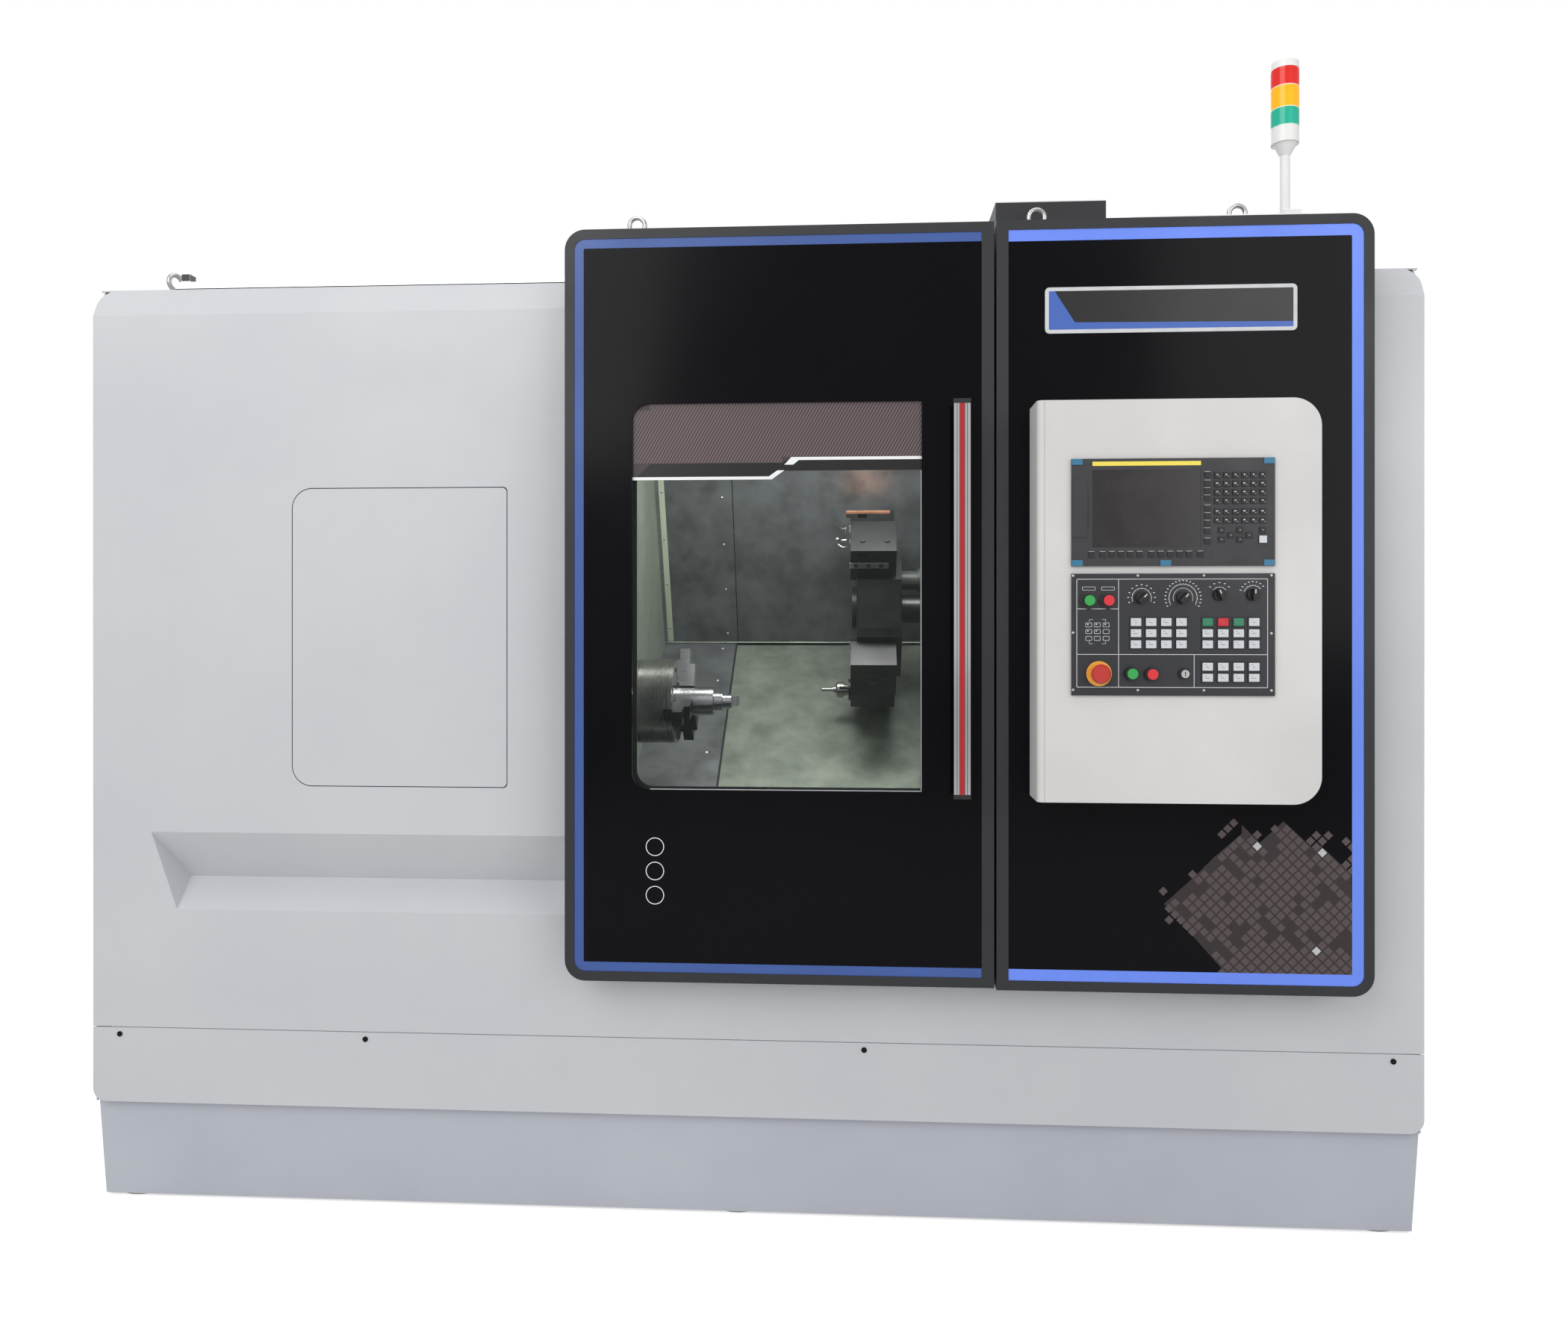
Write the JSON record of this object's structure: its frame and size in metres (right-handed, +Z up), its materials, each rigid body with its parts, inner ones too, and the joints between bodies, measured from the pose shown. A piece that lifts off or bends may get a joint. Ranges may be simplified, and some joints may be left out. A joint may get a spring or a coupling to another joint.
{
  "type": "cnc turning lathe",
  "caption": "Enclosed turning machine: slant bed, jaw chuck and tool turret behind a sliding glazed door, with control console and signal tower.",
  "frame": {"origin": "on the floor under the middle of the machine", "axes": "+X to the operator's right along the spindle, +Y away from the operator, +Z up"},
  "size_m": [2.96, 2, 2.607],
  "materials": {
    "cover_paint": "satin",
    "plinth_paint": "satin",
    "frame_paint": "satin",
    "console_paint": "satin",
    "inner_paint": "satin",
    "dark_panel": "gloss",
    "safety_glass": "clear",
    "dark_plate": "satin",
    "key_rubber": "matte",
    "collar_plastic": "satin",
    "red_plastic": "gloss",
    "green_plastic": "gloss",
    "amber_plastic": "gloss",
    "black_plastic": "satin",
    "screen": "gloss",
    "bright_steel": "ground",
    "dark_steel": "blackened",
    "handle_chrome": "polished",
    "casting": "painted",
    "zinc_steel": "zinc plated",
    "work_aluminium": "turned"
  },
  "bodies": {
    "machine": {"plinth_shell": "plinth_paint", "leveling_feet": "zinc_steel", "kick_panel": "cover_paint", "cover_screws": "black_plastic", "front_cover": "cover_paint", "service_hatch": "cover_paint", "end_covers": "cover_paint", "rear_cover": "cover_paint", "rear_cabinet": "cover_paint", "roof_cover": "cover_paint", "lifting_eyes": "zinc_steel", "top_box": "frame_paint", "tower_pole": "bright_steel", "tower_lens_green": "green_plastic", "tower_lens_amber": "amber_plastic", "tower_lens_red": "red_plastic", "tower_cap": "black_plastic", "door_rail": "dark_steel", "module_frame": "frame_paint", "module_fascia": "dark_panel", "console_housing": "console_paint", "display_bezel": "dark_plate", "display_screen": "screen", "mdi_keys": "key_rubber", "operator_plate": "dark_plate", "panel_keys": "key_rubber", "button_collars": "collar_plastic", "bed_casting": "casting", "z_rails": "bright_steel", "headstock": "casting", "chuck_guard": "inner_paint", "back_wall": "inner_paint"},
    "door": {"door_shell": "frame_paint", "door_fascia": "dark_panel", "door_window": "safety_glass", "door_handle": "handle_chrome", "door_carriages": "zinc_steel"},
    "saddle_slide": {"saddle": "casting", "saddle_way_cover": "inner_paint"},
    "middle_cover": {"middle_way_cover": "inner_paint"},
    "cross_slide": {"turret_housing": "casting"},
    "turret": {"turret_disc": "bright_steel", "tool_holders": "bright_steel"},
    "driven_tool": {"live_tool": "bright_steel"},
    "spindle": {"spindle_shaft": "bright_steel", "chuck_body": "bright_steel", "workpiece": "work_aluminium"},
    "jaw_1": {"chuck_jaw_1": "dark_steel"},
    "jaw_2": {"chuck_jaw_2": "dark_steel"},
    "jaw_3": {"chuck_jaw_3": "dark_steel"},
    "power_on_body": {"power_on": "green_plastic"},
    "power_off_body": {"power_off": "red_plastic"},
    "cycle_start_body": {"cycle_start": "green_plastic"},
    "feed_hold_body": {"feed_hold": "red_plastic"},
    "estop_button_body": {"estop_button": "red_plastic"},
    "key_switch_body": {"key_switch": "bright_steel"},
    "mode_knob_body": {"mode_knob": "black_plastic"},
    "rapid_knob_body": {"rapid_knob": "black_plastic"},
    "feed_knob_body": {"feed_knob": "black_plastic"},
    "spindle_knob_body": {"spindle_knob": "black_plastic"}
  },
  "joints": [
    {"name": "door_slide", "type": "slide", "parent": "machine", "child": "door", "axis": [-1, 0, 0], "range_m": [0, 0.82]},
    {"name": "spindle_turn", "type": "hinge", "parent": "machine", "child": "spindle", "pos_m": [-0.25, -0.451, 1.128], "axis": [1, 0, 0], "continuous": true},
    {"name": "jaw_1_slide", "type": "slide", "parent": "spindle", "child": "jaw_1", "axis": [0, 0.2588, 0.9659], "range_m": [0, 0.0037]},
    {"name": "jaw_2_slide", "type": "slide", "parent": "spindle", "child": "jaw_2", "axis": [0, -0.9659, -0.2588], "range_m": [0, 0.0037]},
    {"name": "jaw_3_slide", "type": "slide", "parent": "spindle", "child": "jaw_3", "axis": [0, 0.7071, -0.7071], "range_m": [0, 0.0037]},
    {"name": "saddle_travel", "type": "slide", "parent": "machine", "child": "saddle_slide", "axis": [1, 0, 0], "range_m": [-0.19, 0.24]},
    {"name": "middle_cover_travel", "type": "slide", "parent": "machine", "child": "middle_cover", "axis": [1, 0, 0], "range_m": [-0.095, 0.12]},
    {"name": "cross_travel", "type": "slide", "parent": "saddle_slide", "child": "cross_slide", "axis": [0, -0.8192, -0.5736], "range_m": [0, 0.165]},
    {"name": "turret_index", "type": "hinge", "parent": "cross_slide", "child": "turret", "pos_m": [0.33, -0.11515, 1.36317], "axis": [1, 0, 0], "continuous": true},
    {"name": "driven_tool_turn", "type": "hinge", "parent": "turret", "child": "driven_tool", "pos_m": [0.23, -0.11515, 1.13817], "axis": [1, 0, 0], "continuous": true},
    {"name": "power_on_press", "type": "slide", "parent": "machine", "child": "power_on_body", "axis": [0, 1, 0], "range_m": [0, 0.003], "stiffness_N_per_m": 800, "springref_m": -0.002},
    {"name": "power_off_press", "type": "slide", "parent": "machine", "child": "power_off_body", "axis": [0, 1, 0], "range_m": [0, 0.003], "stiffness_N_per_m": 800, "springref_m": -0.002},
    {"name": "cycle_start_press", "type": "slide", "parent": "machine", "child": "cycle_start_body", "axis": [0, 1, 0], "range_m": [0, 0.003], "stiffness_N_per_m": 800, "springref_m": -0.002},
    {"name": "feed_hold_press", "type": "slide", "parent": "machine", "child": "feed_hold_body", "axis": [0, 1, 0], "range_m": [0, 0.003], "stiffness_N_per_m": 800, "springref_m": -0.002},
    {"name": "estop_press", "type": "slide", "parent": "machine", "child": "estop_button_body", "axis": [0, 1, 0], "range_m": [0, 0.006]},
    {"name": "key_turn", "type": "hinge", "parent": "machine", "child": "key_switch_body", "pos_m": [0.92, -0.972, 1.224], "axis": [0, 1, 0], "range_deg": [0, 90]},
    {"name": "mode_knob_turn", "type": "hinge", "parent": "machine", "child": "mode_knob_body", "pos_m": [0.836, -0.972, 1.376], "axis": [0, 1, 0], "range_deg": [-120, 120]},
    {"name": "rapid_knob_turn", "type": "hinge", "parent": "machine", "child": "rapid_knob_body", "pos_m": [0.9175, -0.972, 1.376], "axis": [0, 1, 0], "range_deg": [-90, 90]},
    {"name": "feed_knob_turn", "type": "hinge", "parent": "machine", "child": "feed_knob_body", "pos_m": [0.989, -0.972, 1.3825], "axis": [0, 1, 0], "range_deg": [-150, 150]},
    {"name": "spindle_knob_turn", "type": "hinge", "parent": "machine", "child": "spindle_knob_body", "pos_m": [1.0545, -0.972, 1.3825], "axis": [0, 1, 0], "range_deg": [-90, 90]}
  ],
  "couplings": [
    {"joint": "jaw_2_slide", "follows": "jaw_1_slide", "ratio": 1},
    {"joint": "jaw_3_slide", "follows": "jaw_1_slide", "ratio": 1},
    {"joint": "middle_cover_travel", "follows": "saddle_travel", "ratio": 0.5}
  ]
}
